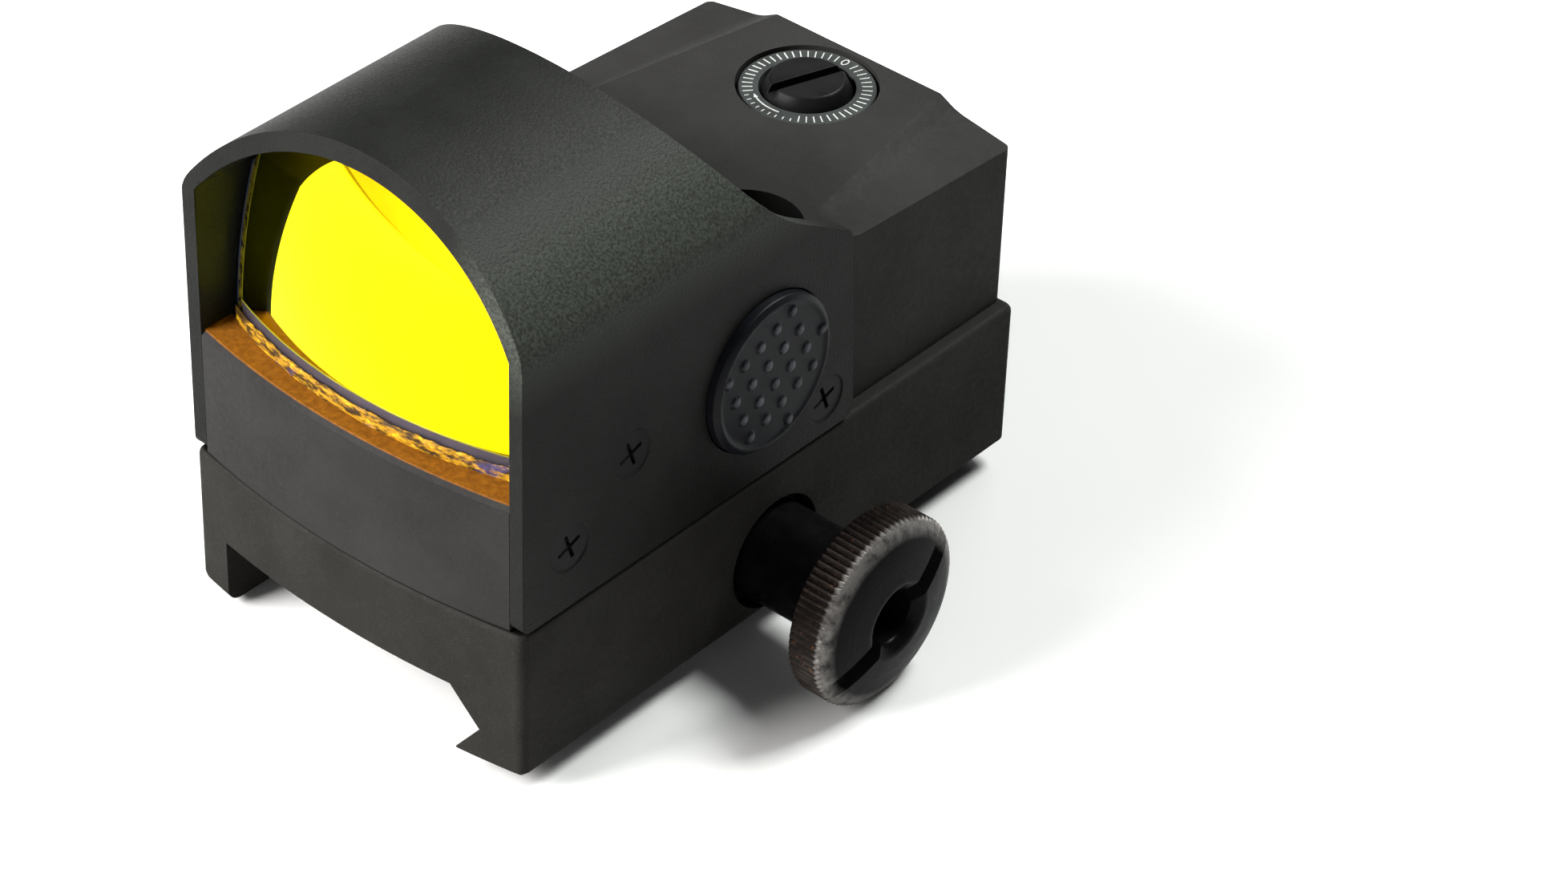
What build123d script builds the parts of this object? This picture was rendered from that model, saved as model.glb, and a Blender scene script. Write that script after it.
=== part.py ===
# Compact reflex red dot finder on a cross-screw clamp for a 21 mm accessory rail.
# Millimetres, +Z up, +X to the shooter's right, -Y towards the target.
# Origin: middle of the rail channel's ceiling, above the axis of the clamp screw.
import os
from math import cos, radians, sin, sqrt

from build123d import *

os.makedirs("parts", exist_ok=True)

# ---------------------------------------------------------------- driving dimensions
half_width = 14.25          # base and hood, side to side is twice this
front_y = -23.7             # front plane at the corners
rear_y = 24.3               # rear face of the base
front_bulge = 1.4           # how far the front face bows forward in plan
base_top = 6.0
left_leg_bottom = -5.0
hook_bottom = -5.5

plate = 1.09                # thickness of the hood's side walls
body_half = half_width - plate - 0.02
body_bottom = base_top + 0.05
body_rear = 24.0
floor_top = 15.5            # deck between the fascia and the rear block
block_front = -1.8
plateau_top = 19.65
cheek_top = 20.7
cheek_thickness = 1.65

shoulder_z = 26.0
outer_arch_radius = 17.0
outer_arch_z = 17.05
inner_arch_radius = 16.35
inner_arch_z = 16.4
rim_lean = 0.2              # set-back of the rim per unit of height above the shoulder
hood_bottom = base_top + 0.15

lens_radius = 36.0          # convex front face of the lens
lens_thickness = 2.8
lens_centre_y = 12.6
lens_centre_z = 15.3
lens_bottom = 15.0

screw_z = -0.92             # clamp screw axis, along X through Y = 0
screw_shaft = 1.95
screw_stem = 3.45
knob_radius = 6.7
knob_inner = 20.8
knob_outer = 23.9
knob_dome = 0.7

jaw_half = 11.0             # half length of the sliding jaw
jaw_top = 3.1
jaw_outer = -15.3
jaw_inner = -11.3

button_y = -1.6
button_z = 14.35
button_radius = 5.55

dial_y = 18.8               # elevation screw, on the mid-plane
windage_y = 13.0            # windage screw, on the left side
windage_z = 12.0
recess_radius = 4.8
recess_depth = 1.25
dial_radius = 4.6
dial_bore = 3.25
dial_thickness = 1.0
dial_gap = 0.2              # how far the dial lies below the surface round it

running = 0.05              # radial clearance of everything that turns or slides
hood_screw_places = ((-19.5, 10.7), (-14.0, 14.7), (4.45, 8.9))
body_screw_x = 7.6
body_screw_y = 3.85
cell_radius = 10.0
cell_height = 3.2
cell_y = -11.4


def write(part, name):
    # Label a finished piece and write it as its own STEP file.
    part.label = name
    export_step(part, f"parts/{name}.step")
    print(name, round(part.volume, 3))


def plan_outline(half, front, rear, bulge):
    # Rectangle in plan whose front side is a shallow arc.
    with BuildSketch(mode=Mode.PRIVATE) as outline:
        with BuildLine():
            ThreePointArc((-half, front), (0, front - bulge), (half, front))
            Polyline((half, front), (half, rear), (-half, rear), (-half, front))
        make_face()
    return outline.sketch


def arch_outline(half, radius, centre_z, bottom):
    # Upright window shape: two straight sides under a round arch, on the XZ plane.
    side_top = centre_z + sqrt(radius**2 - half**2)
    with BuildSketch(Plane.XZ, mode=Mode.PRIVATE) as outline:
        with BuildLine():
            ThreePointArc((-half, side_top), (0, centre_z + radius), (half, side_top))
            Polyline((half, side_top), (half, bottom), (-half, bottom), (-half, side_top))
        make_face()
    return outline.sketch


def side_prism(points, x_low, x_high, rounds=()):
    # Prism along X over an outline of (y, z) points; rounds lists (point index, radius).
    with BuildPart(mode=Mode.PRIVATE) as prism:
        with BuildSketch(Plane.YZ.offset(x_low)) as outline:
            with BuildLine():
                Polyline(*points, close=True)
            make_face()
            for index, radius in rounds:
                fillet(outline.vertices().sort_by_distance(Vector(*points[index]))[0], radius)
        extrude(amount=x_high - x_low)
    return prism.part


def front_prism(points, y_low, y_high):
    # Prism along Y over an outline of (x, z) points.
    with BuildPart(mode=Mode.PRIVATE) as prism:
        with BuildSketch(Plane.XZ.offset(-y_low)):
            with BuildLine():
                Polyline(*points, close=True)
            make_face()
        extrude(amount=y_low - y_high)
    return prism.part


def block(x_low, x_high, y_low, y_high, z_low, z_high):
    # Box given by its limits.
    size = (x_high - x_low, y_high - y_low, z_high - z_low)
    centre = ((x_low + x_high) / 2, (y_low + y_high) / 2, (z_low + z_high) / 2)
    return Pos(*centre) * Box(*size, mode=Mode.PRIVATE)


def rod_x(radius, x_low, x_high, y, z):
    # Cylinder along X.
    return Pos((x_low + x_high) / 2, y, z) * Rot(0, 90, 0) * Cylinder(
        radius, abs(x_high - x_low), mode=Mode.PRIVATE
    )


def rod_y(radius, y_low, y_high, x, z):
    # Cylinder along Y.
    return Pos(x, (y_low + y_high) / 2, z) * Rot(90, 0, 0) * Cylinder(
        radius, y_high - y_low, mode=Mode.PRIVATE
    )


def rod_z(radius, z_low, z_high, x, y):
    # Cylinder along Z.
    return Pos(x, y, (z_low + z_high) / 2) * Cylinder(radius, z_high - z_low, mode=Mode.PRIVATE)


# ---------------------------------------------------------------- mount base
channel_left = -11.25
flank_top = (8.85, 0.0)
flank_vertex = (11.05, -2.65)
hook_tip = (9.25, -4.85)
channel = (
    (channel_left, -9),
    (channel_left, 0),
    flank_top,
    flank_vertex,
    hook_tip,
    (9.45, hook_bottom),
    (9.45, -9),
)
pocket_half = jaw_half + 0.1
relief_half = 11.5
pin_places = ((-10.4, -19.6), (10.4, -19.6))
guide_places = (-8.0, 8.0)
guide_z = 1.6

with BuildPart() as mount_base:
    with BuildSketch(Plane.XY.offset(hook_bottom)):
        add(plan_outline(half_width, front_y, rear_y, front_bulge))
    extrude(amount=base_top - hook_bottom)
    fillet(mount_base.edges().filter_by(Axis.Z), 0.75)
    fillet(mount_base.faces().sort_by(Axis.Z)[-1].edges(), 0.5)
    add(front_prism(channel, -30, 30), mode=Mode.SUBTRACT)
    add(block(-20, channel_left + 0.01, -30, 30, -9, left_leg_bottom), mode=Mode.SUBTRACT)
    # the outer lower edges: rounded on the left leg, bevelled on the hook
    left_edges = mount_base.edges().filter_by(Axis.Y).filter_by_position(Axis.Z, -5.1, -4.9)
    fillet(left_edges.sort_by(Axis.X)[0], 1.1)
    hook_edges = mount_base.edges().filter_by(Axis.Y).filter_by_position(Axis.Z, -5.6, -5.45)
    chamfer(hook_edges.sort_by(Axis.X)[-1], 0.55)
    # two end pads carry the rail, the middle of the ceiling is relieved
    add(block(channel_left, flank_top[0], -relief_half, relief_half, 0, 0.2), mode=Mode.SUBTRACT)
    # pocket for the sliding jaw, open to the left and below
    add(block(-20, channel_left, -pocket_half, pocket_half, -9, jaw_top + 0.1), mode=Mode.SUBTRACT)
    # clamp screw bore, its groove across the ceiling and the counterbore for the stem
    add(rod_x(screw_shaft + 0.2, -20, 20, 0, screw_z), mode=Mode.SUBTRACT)
    add(rod_x(screw_stem + 0.65, 12.9, 20, 0, screw_z), mode=Mode.SUBTRACT)
    for y in guide_places:
        add(rod_x(1.0, -20, -7.0, y, guide_z), mode=Mode.SUBTRACT)
    for x in (-body_screw_x, body_screw_x):
        add(rod_z(2.0, 1.4, base_top + 1, x, body_screw_y), mode=Mode.SUBTRACT)
    for x, y in pin_places:
        add(rod_z(1.25, 2.0, base_top + 1, x, y), mode=Mode.SUBTRACT)
write(mount_base.part, "mount_base")

# ---------------------------------------------------------------- rail clamp
jaw_profile = (
    (jaw_outer, left_leg_bottom),
    (-9.0, left_leg_bottom),
    (-8.75, -4.75),
    (-10.55, -2.6),
    (jaw_inner, -1.8),
    (jaw_inner, jaw_top),
    (jaw_outer + 0.8, jaw_top),
    (jaw_outer, jaw_top - 0.8),
)
with BuildPart() as clamp_jaw:
    add(front_prism(jaw_profile, -jaw_half, jaw_half))
    outer_uprights = clamp_jaw.edges().filter_by(Axis.Z).filter_by_position(Axis.X, -15.4, -15.2)
    fillet(outer_uprights, 0.8)
    add(rod_x(screw_shaft + running, -20, -5, 0, screw_z), mode=Mode.SUBTRACT)
    for y in guide_places:
        add(rod_x(1.0 + running, -20, -5, y, guide_z), mode=Mode.SUBTRACT)
write(clamp_jaw.part, "clamp_jaw")

with BuildPart() as jaw_guide_pins:
    for y in guide_places:
        add(rod_x(1.0, -15.1, -7.0, y, guide_z))
write(jaw_guide_pins.part, "jaw_guide_pins")

slot_half = 0.85
coin_slot_turn = 31
with BuildPart() as clamp_screw:
    with BuildSketch(Plane.XZ):
        with BuildLine():
            Line((-17.6, 0), (-17.6, screw_shaft - 0.5))
            Line((-17.6, screw_shaft - 0.5), (-17.1, screw_shaft))
            Line((-17.1, screw_shaft), (13.0, screw_shaft))
            Line((13.0, screw_shaft), (13.0, screw_stem))
            Line((13.0, screw_stem), (knob_inner - 0.6, screw_stem))
            Line((knob_inner - 0.6, screw_stem), (knob_inner, screw_stem + 0.6))
            Line((knob_inner, screw_stem + 0.6), (knob_inner, knob_radius - 0.35))
            Line((knob_inner, knob_radius - 0.35), (knob_inner + 0.35, knob_radius))
            Line((knob_inner + 0.35, knob_radius), (knob_outer - 0.25, knob_radius))
            Line((knob_outer - 0.25, knob_radius), (knob_outer, knob_radius - 0.3))
            dome = Line((knob_outer, knob_radius - 0.3), (knob_outer + knob_dome, 2.9))
            Line(dome @ 1, (knob_outer + knob_dome - 0.5, 1.9))
            Line((knob_outer + knob_dome - 0.5, 1.9), (knob_outer - 2.4, 1.9))
            Line((knob_outer - 2.4, 1.9), (knob_outer - 2.4, 0))
            Line((knob_outer - 2.4, 0), (-17.6, 0))
        make_face()
    revolve(axis=Axis.X)
    # coin slot across the domed face
    coin_slot = block(knob_outer - 0.35, 30, -8, 8, -slot_half, slot_half)
    add(Rot(coin_slot_turn, 0, 0) * coin_slot, mode=Mode.SUBTRACT)
clamp_screw_part = Pos(0, 0, screw_z) * clamp_screw.part
write(clamp_screw_part, "clamp_screw")

# ---------------------------------------------------------------- sight body
bay_left = -9.6             # mechanism bay inside the rear block, open below
bay_right = 8.6
bay_front = 8.6
bay_rear = 22.4
bay_top = 17.0
tunnel_half = 3.2
tunnel_bottom = 12.0
tunnel_top = 18.0
window_half = 2.6
window_bottom = 15.7
window_top = 17.6
cell_pocket_top = 9.75
switch_pocket = (10.6, button_y - 2.1, button_y + 2.1, button_z - 2.1, button_z + 2.1)
ledge_front = 9.1

# cut above the sloping ledge on the right side: its outline at the rear and at the front end
ledge_rear_section = ((3.72, 21.3), (8.4, 18.85), (13.6, 18.02), (13.6, 21.3))
ledge_front_section = ((6.67, 21.3), (10.5, 19.3), (13.6, 18.93), (13.6, 21.3))
valley_radius = 4.0
sweep_axis_z = 21.95        # the ledge's front end turns up about this axis
sweep_angle = 64


def ledge_section(points, y):
    # Closed (x, z) outline at a given Y, with its lowest corner rounded.
    with BuildSketch(Plane.XZ.offset(-y), mode=Mode.PRIVATE) as section:
        with BuildLine():
            Polyline(*points, close=True)
        make_face()
        fillet(section.vertices().sort_by_distance(Vector(*points[1]))[0], valley_radius)
    return section.sketch


front_section = ledge_section(ledge_front_section, ledge_front)
ledge_cut = loft([ledge_section(ledge_rear_section, rear_y + 1), front_section])
sweep_axis = Axis((0, ledge_front, sweep_axis_z), (1, 0, 0))
cheek_sweep = revolve(front_section, axis=sweep_axis, revolution_arc=-sweep_angle)

cheek_outline = (
    (-16.0, floor_top - 0.5),
    (-15.0, 17.2),
    (-9.4, 17.2),
    (-8.0, cheek_top),
    (ledge_front, cheek_top),
    (ledge_front, floor_top - 0.5),
)


def lens_shell(outer_radius, inner_radius):
    # Spherical shell that the lens, its seat and its bond are cut from.
    shell = Sphere(outer_radius) - Sphere(inner_radius)
    return Pos(0, lens_centre_y, lens_centre_z) * shell


def half_round(low_y, high_y):
    # Limits in Y that keep only the front wall of the spherical shell.
    return block(-body_half, body_half, low_y, high_y, lens_bottom - 0.1, 60)


seat = lens_shell(lens_radius + 0.1, lens_radius - lens_thickness - 0.1) & half_round(-26, -10)

with BuildPart() as body_housing:
    with BuildSketch(Plane.XY.offset(body_bottom)):
        add(plan_outline(body_half, front_y, body_rear, front_bulge))
    extrude(amount=floor_top - body_bottom)
    front_top = body_housing.edges().group_by(Axis.Z)[-1].sort_by(Axis.Y)[0]
    chamfer(front_top, 0.35)
    add(block(-body_half, body_half, block_front, body_rear, floor_top - 0.5, plateau_top))
    add(side_prism(cheek_outline, body_half - cheek_thickness, body_half))
    add(side_prism(cheek_outline, -body_half, -body_half + cheek_thickness))
    for cutter in (ledge_cut, cheek_sweep):
        add(cutter, mode=Mode.SUBTRACT)
        add(mirror(cutter, about=Plane.YZ, mode=Mode.PRIVATE), mode=Mode.SUBTRACT)
    # rear corners and the ridges beside the ledges
    rear_uprights = body_housing.edges().filter_by(Axis.Z).filter_by_position(Axis.Y, 23.9, 24.1)
    fillet(rear_uprights, 0.5)
    upper_edges = body_housing.edges().filter_by_position(Axis.Y, 12, 22)
    ridges = upper_edges.filter_by_position(Axis.Z, plateau_top - 0.01, plateau_top + 0.01)
    fillet(ridges, 0.5)
    # seat of the lens across the deck
    add(seat, mode=Mode.SUBTRACT)
    # battery pocket, mechanism bay, wire duct and light tunnel
    add(rod_z(cell_radius + 0.25, 5, cell_pocket_top, 0, cell_y), mode=Mode.SUBTRACT)
    add(block(bay_left, bay_right, bay_front, bay_rear, 5, bay_top), mode=Mode.SUBTRACT)
    add(block(-3.0, 3.0, -4.0, bay_front + 1, 5, 8.6), mode=Mode.SUBTRACT)
    add(block(-tunnel_half, tunnel_half, 0.2, bay_front + 1, tunnel_bottom, tunnel_top), mode=Mode.SUBTRACT)
    add(block(-3.0, 3.0, -0.8, 0.3, window_bottom - 0.3, window_top + 0.3), mode=Mode.SUBTRACT)
    add(block(-window_half, window_half, -3, 0, window_bottom, window_top), mode=Mode.SUBTRACT)
    # recess, bore and seal seat of each adjuster
    add(rod_z(recess_radius, plateau_top - recess_depth, 30, 0, dial_y), mode=Mode.SUBTRACT)
    add(rod_z(1.55, 15, 30, 0, dial_y), mode=Mode.SUBTRACT)
    add(rod_z(2.5, plateau_top - recess_depth - 0.6, 30, 0, dial_y), mode=Mode.SUBTRACT)
    add(rod_x(recess_radius, -20, -body_half + recess_depth, windage_y, windage_z), mode=Mode.SUBTRACT)
    add(rod_x(1.55, -20, -5, windage_y, windage_z), mode=Mode.SUBTRACT)
    add(rod_x(2.5, -20, -body_half + recess_depth + 0.6, windage_y, windage_z), mode=Mode.SUBTRACT)
    # switch pocket behind the button
    add(block(switch_pocket[0], 20, *switch_pocket[1:]), mode=Mode.SUBTRACT)
    # counterbored holes of the body screws
    for x in (-body_screw_x, body_screw_x):
        add(rod_z(3.78, 10.5, 30, x, body_screw_y), mode=Mode.SUBTRACT)
        add(rod_z(2.2, 0, 30, x, body_screw_y), mode=Mode.SUBTRACT)
    for x, y in pin_places:
        add(rod_z(1.25, 5, 9.1, x, y), mode=Mode.SUBTRACT)
    for y, z in hood_screw_places:
        for side in (-1, 1):
            add(rod_x(0.8, side * 10.7, side * 14, y, z), mode=Mode.SUBTRACT)
    # gasket groove round the underside
    with BuildSketch(Plane.XY.offset(body_bottom)):
        Rectangle(25.0, 45.6)
        Rectangle(23.6, 44.2, mode=Mode.SUBTRACT)
    extrude(amount=0.6, mode=Mode.SUBTRACT)
write(body_housing.part, "body_housing")

with BuildPart() as body_gasket:
    with BuildSketch(Plane.XY.offset(base_top)):
        Rectangle(25.0, 45.6)
        Rectangle(23.6, 44.2, mode=Mode.SUBTRACT)
    extrude(amount=body_bottom + 0.6 - base_top)
write(body_gasket.part, "body_gasket")

# ---------------------------------------------------------------- hood
rear_cut = (
    (-8.6, 36.0),
    (-1.3, 25.56),
    (6.4, 20.95),
    (7.4, hood_bottom - 0.2),
    (12, hood_bottom - 0.2),
    (12, 36),
)
rim_cut = (
    (front_y, shoulder_z),
    (front_y + rim_lean * 10, shoulder_z + 10),
    (-40, shoulder_z + 10),
    (-40, shoulder_z),
)
with BuildPart() as hood:
    with BuildSketch(Plane.XZ.offset(-front_y)):
        add(arch_outline(half_width, outer_arch_radius, outer_arch_z, hood_bottom))
    extrude(amount=-34)
    shoulders = hood.edges().filter_by(Axis.Y).filter_by_position(Axis.Z, 26, 27)
    fillet(shoulders, 2.5)
    with BuildSketch(Plane.XZ.offset(-front_y + 1)):
        add(arch_outline(half_width - plate, inner_arch_radius, inner_arch_z, 0))
    extrude(amount=-40, mode=Mode.SUBTRACT)
    add(side_prism(rear_cut, -20, 20, ((1, 16), (2, 0.5))), mode=Mode.SUBTRACT)
    add(side_prism(rim_cut, -20, 20), mode=Mode.SUBTRACT)
    lower_corners = hood.edges().filter_by(Axis.X).group_by(Axis.Z)[0]
    fillet(lower_corners.group_by(Axis.Y)[-1], 0.9)
    lower_corners = hood.edges().filter_by(Axis.X).group_by(Axis.Z)[0]
    fillet(lower_corners.group_by(Axis.Y)[0], 0.7)
    add(rod_x(button_radius + 0.1, 10, 20, button_y, button_z), mode=Mode.SUBTRACT)
    for y, z in hood_screw_places:
        for side in (-1, 1):
            head = Pos(side * (half_width - 0.45), y, z) * Rot(0, side * 90, 0)
            add(head * Cone(0.95, 1.75, 0.9, mode=Mode.PRIVATE), mode=Mode.SUBTRACT)
            add(rod_x(0.98, side * 12, side * 14, y, z), mode=Mode.SUBTRACT)
write(hood.part, "hood")

# small countersunk cross-head screws that hold the hood to the body
with BuildPart() as hood_screws:
    for y, z in hood_screw_places:
        for side in (-1, 1):
            place = Pos(side * (half_width - 0.5), y, z) * Rot(0, side * 90, 0)
            add(place * Cone(0.9, 1.65, 0.8, mode=Mode.PRIVATE))
            add(rod_x(0.75, side * 10.9, side * 13.4, y, z))
            for turn in (20, 110):
                cross = Box(0.3, 2.0, 0.5, mode=Mode.PRIVATE)
                add(place * Pos(0, 0, 0.3) * Rot(0, 0, turn) * cross, mode=Mode.SUBTRACT)
write(hood_screws.part, "hood_screws")

# ---------------------------------------------------------------- lens
lens_half = half_width - plate - 0.06
with BuildPart() as lens_blank:
    with BuildSketch(Plane.XZ.offset(10)):
        add(arch_outline(lens_half, inner_arch_radius - 0.06, inner_arch_z, lens_bottom))
    extrude(amount=16)
glass = lens_shell(lens_radius, lens_radius - lens_thickness) & lens_blank.part
with BuildPart() as lens:
    add(glass)
write(lens.part, "lens")

bond_strip = seat & block(-body_half, body_half, -26, -10, lens_bottom - 0.1, lens_bottom)
with BuildPart() as lens_bond:
    add(bond_strip)
write(lens_bond.part, "lens_bond")

# ---------------------------------------------------------------- fasteners between body and base
with BuildPart() as body_screws:
    for x in (-body_screw_x, body_screw_x):
        add(rod_z(1.98, 1.6, 10.6, x, body_screw_y))
        add(rod_z(3.45, 10.5, 14.5, x, body_screw_y))
        with BuildSketch(Plane.XY.offset(14.5)):
            with Locations((x, body_screw_y)):
                RegularPolygon(1.75, 6)
        extrude(amount=-2.0, mode=Mode.SUBTRACT)
write(body_screws.part, "body_screws")

with BuildPart() as locating_pins:
    for x, y in pin_places:
        add(rod_z(1.25, 2.0, 9.0, x, y))
write(locating_pins.part, "locating_pins")

# ---------------------------------------------------------------- battery and circuit
with BuildPart() as battery:
    add(rod_z(cell_radius, body_bottom + 0.15, body_bottom + 0.15 + cell_height, 0, cell_y))
    fillet(battery.edges(), 0.3)
write(battery.part, "battery")

with BuildPart() as battery_insulator:
    add(rod_z(cell_radius, body_bottom, body_bottom + 0.15, 0, cell_y))
write(battery_insulator.part, "battery_insulator")

cell_top = body_bottom + 0.15 + cell_height
with BuildPart() as battery_contact_top:
    add(block(-2.5, 2.5, -17.0, -5.0, cell_top, cell_top + 0.2))
    add(block(-2.5, 2.5, -6.2, -5.0, cell_top + 0.2, cell_pocket_top))
write(battery_contact_top.part, "battery_contact_top")

with BuildPart() as battery_contact_side:
    add(block(-2.4, 2.4, -1.38, -1.2, 6.6, 8.4))
    add(block(-2.4, 2.4, -1.2, 8.4, 8.2, 8.4))
write(battery_contact_side.part, "battery_contact_side")

board_bottom = 6.4
board_top = 7.2
with BuildPart() as circuit_board:
    add(block(-8.4, 7.8, 9.0, 22.0, board_bottom, board_top))
    add(rod_z(1.8, 6, 8, 0, dial_y), mode=Mode.SUBTRACT)
    add(block(-7.4, -4.6, 17.0, 20.0, board_top, board_top + 0.9))
    add(block(4.0, 6.6, 10.0, 11.4, board_top, board_top + 0.6))
    add(block(4.0, 6.6, 12.2, 13.6, board_top, board_top + 0.6))
write(circuit_board.part, "circuit_board")

with BuildPart() as switch_body:
    add(block(switch_pocket[0] + 0.05, 12.2, button_y - 2.0, button_y + 2.0, button_z - 2.0, button_z + 2.0))
    add(rod_x(1.0, 11.5, 13, button_y, button_z), mode=Mode.SUBTRACT)
write(switch_body.part, "switch_body")

# ---------------------------------------------------------------- power button
button_back = 13.72
button_face = 15.0
with BuildPart() as power_button:
    add(rod_x(button_radius, button_back, button_face, button_y, button_z))
    fillet(power_button.faces().sort_by(Axis.X)[-1].edges(), 0.35)
    add(rod_x(1.5, 12.95, button_back, button_y, button_z))
write(power_button.part, "power_button")

with BuildPart() as switch_plunger:
    add(rod_x(0.95, 12.05, 12.95, button_y, button_z))
write(switch_plunger.part, "switch_plunger")

# ---------------------------------------------------------------- adjusters
head_top = 0.55             # how far the slotted head stands above the surface round it
head_low = -1.2


def adjuster_screw(length):
    # Slotted adjuster, axis +Z, with Z = 0 at the housing surface; length reaches down from it.
    with BuildPart(mode=Mode.PRIVATE) as screw:
        with BuildSketch(Plane.XZ):
            with BuildLine():
                Polyline(
                    (0, head_top),
                    (2.45, head_top),
                    (2.6, head_top - 0.12),
                    (3.0, -0.35),
                    (3.05, head_low),
                    (1.5, head_low),
                    (1.5, -length + 0.3),
                    (1.2, -length),
                    (0, -length),
                    close=True,
                )
            make_face()
        revolve(axis=Axis.Z)
        with Locations((0, 0, head_top)):
            Box(8, 0.75, 1.2, mode=Mode.SUBTRACT)
    return screw.part


def adjuster_dial():
    # Graduated ring that lies in the recess round the screw's head.
    with BuildPart(mode=Mode.PRIVATE) as dial:
        with BuildSketch(Plane.XY.offset(-dial_gap - dial_thickness)):
            Circle(dial_radius)
            Circle(dial_bore, mode=Mode.SUBTRACT)
        extrude(amount=dial_thickness)
        chamfer(dial.faces().sort_by(Axis.Z)[-1].edges().sort_by(SortBy.RADIUS)[-1], 0.08)
    return dial.part


def washer(inner, outer, low, high):
    # Flat ring about the adjuster's axis.
    with BuildPart(mode=Mode.PRIVATE) as ring:
        with BuildSketch(Plane.XY.offset(low)):
            Circle(outer)
            Circle(inner, mode=Mode.SUBTRACT)
        extrude(amount=high - low)
    return ring.part


elevation_frame = Pos(0, dial_y, plateau_top)
windage_frame = Pos(-body_half, windage_y, windage_z) * Rot(0, -90, 0)
clip_low = bay_top - plateau_top - 0.75
windage_clip_low = -(body_half + bay_left) - 0.6

write(elevation_frame * Rot(0, 0, 71) * adjuster_screw(plateau_top - 8.0), "elevation_screw")
write(elevation_frame * adjuster_dial(), "elevation_dial")
write(elevation_frame * washer(1.55, 2.45, -1.8, -1.3), "elevation_seal")
write(elevation_frame * washer(1.5, 2.7, clip_low, clip_low + 0.6), "elevation_clip")
write(windage_frame * Rot(0, 0, 40) * adjuster_screw(body_half - 6.4), "windage_screw")
write(windage_frame * adjuster_dial(), "windage_dial")
write(windage_frame * washer(1.55, 2.45, -1.8, -1.3), "windage_seal")
write(windage_frame * washer(1.5, 2.3, windage_clip_low, windage_clip_low + 0.5), "windage_clip")

# ---------------------------------------------------------------- lamp carriage
slide_low = 9.4
lamp_z = 16.5
slide_high = 14.4
with BuildPart() as elevation_slide:
    add(block(-5.8, 5.8, 12.0, 22.2, slide_low, slide_high))
    add(block(-5.5, 5.5, 10.6, 12.0, 11.0, 12.6))
    add(rod_z(1.5 + running, 5, 20, 0, dial_y), mode=Mode.SUBTRACT)
write(elevation_slide.part, "elevation_slide")

with BuildPart() as led_carriage:
    add(block(-3.0, 3.0, 8.8, 11.9, 9.8, 14.4))
    add(block(-4, 4, 10.55, 13, 10.95, 12.65), mode=Mode.SUBTRACT)
    add(block(-2.4, 2.4, 1.0, 8.8, 13.0, 14.4))
    add(block(-2.4, 2.4, 1.0, 2.4, 14.4, 17.2))
    add(rod_y(0.8, 0, 4, 0, lamp_z), mode=Mode.SUBTRACT)
    # flange that the windage nut holds
    add(block(-4.0, -3.0, 9.3, 10.0, 10.2, 14.0))
    add(block(-4.6, -4.0, 8.95, 10.35, 10.2, 14.0))
write(led_carriage.part, "led_carriage")

with BuildPart() as led_emitter:
    add(rod_y(0.8, 0.8, 2.3, 0, lamp_z))
    add(Pos(0, 0.8, lamp_z) * Sphere(0.55, mode=Mode.PRIVATE))
write(led_emitter.part, "led_emitter")

with BuildPart() as windage_nut:
    add(block(-8.4, -6.6, 10.6, 15.2, 9.8, 14.2))
    add(block(-8.4, -4.65, 8.75, 10.45, 10.2, 14.0))
    add(block(-8.4, -6.6, 10.45, 10.6, 10.2, 14.0))
    # claw that reaches round the carriage's flange
    add(block(-4.65, -3.5, 8.65, 8.9, 10.2, 14.0))
    add(block(-3.95, -3.5, 8.9, 9.2, 10.2, 14.0))
    add(rod_x(1.5 + running, -10, -5, windage_y, windage_z), mode=Mode.SUBTRACT)
write(windage_nut.part, "windage_nut")

with BuildPart() as emitter_window:
    add(block(-2.95, 2.95, -0.75, -0.15, window_bottom - 0.25, window_top + 0.25))
write(emitter_window.part, "emitter_window")

spring_radius = 2.3
with BuildPart() as elevation_spring:
    with BuildLine() as coil_path:
        Helix(0.7, slide_low - board_top - 0.4, spring_radius, center=(0, dial_y, board_top + 0.2))
    with BuildSketch(Plane(origin=coil_path.line @ 0, z_dir=coil_path.line % 0)):
        Circle(0.18)
    sweep(path=coil_path.line, is_frenet=True)
write(elevation_spring.part, "elevation_spring")
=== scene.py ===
import math

import bpy
import bmesh
import numpy as np
from mathutils import Matrix, Vector


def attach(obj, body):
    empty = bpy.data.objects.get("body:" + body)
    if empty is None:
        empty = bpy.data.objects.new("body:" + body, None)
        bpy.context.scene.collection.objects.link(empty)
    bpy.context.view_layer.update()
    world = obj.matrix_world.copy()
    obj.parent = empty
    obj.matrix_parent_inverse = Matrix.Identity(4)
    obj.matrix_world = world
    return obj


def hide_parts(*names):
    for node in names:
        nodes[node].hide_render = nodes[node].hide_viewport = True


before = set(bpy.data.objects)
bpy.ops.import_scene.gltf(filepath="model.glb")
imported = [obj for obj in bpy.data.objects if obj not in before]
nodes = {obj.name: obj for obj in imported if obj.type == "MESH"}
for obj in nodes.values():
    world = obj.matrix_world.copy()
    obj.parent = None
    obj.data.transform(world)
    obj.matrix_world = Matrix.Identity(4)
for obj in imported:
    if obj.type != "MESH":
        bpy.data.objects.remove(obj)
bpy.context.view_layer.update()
mm = 0.001      # the shape dictionaries are in millimetres, those of the finishes in metres
print("frame loaded:", len(nodes), "nodes")


cameraSettings = dict(
    place=(0.16606, -0.18469, 0.18900),     # metres
    back=(0.5055, -0.6165, 0.6036),         # from the sight towards the camera
    roll=2.25,                              # degrees
    lens=108.7, sensorWidth=36,             # millimetres
    clip=(0.01, 20),
)


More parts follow.
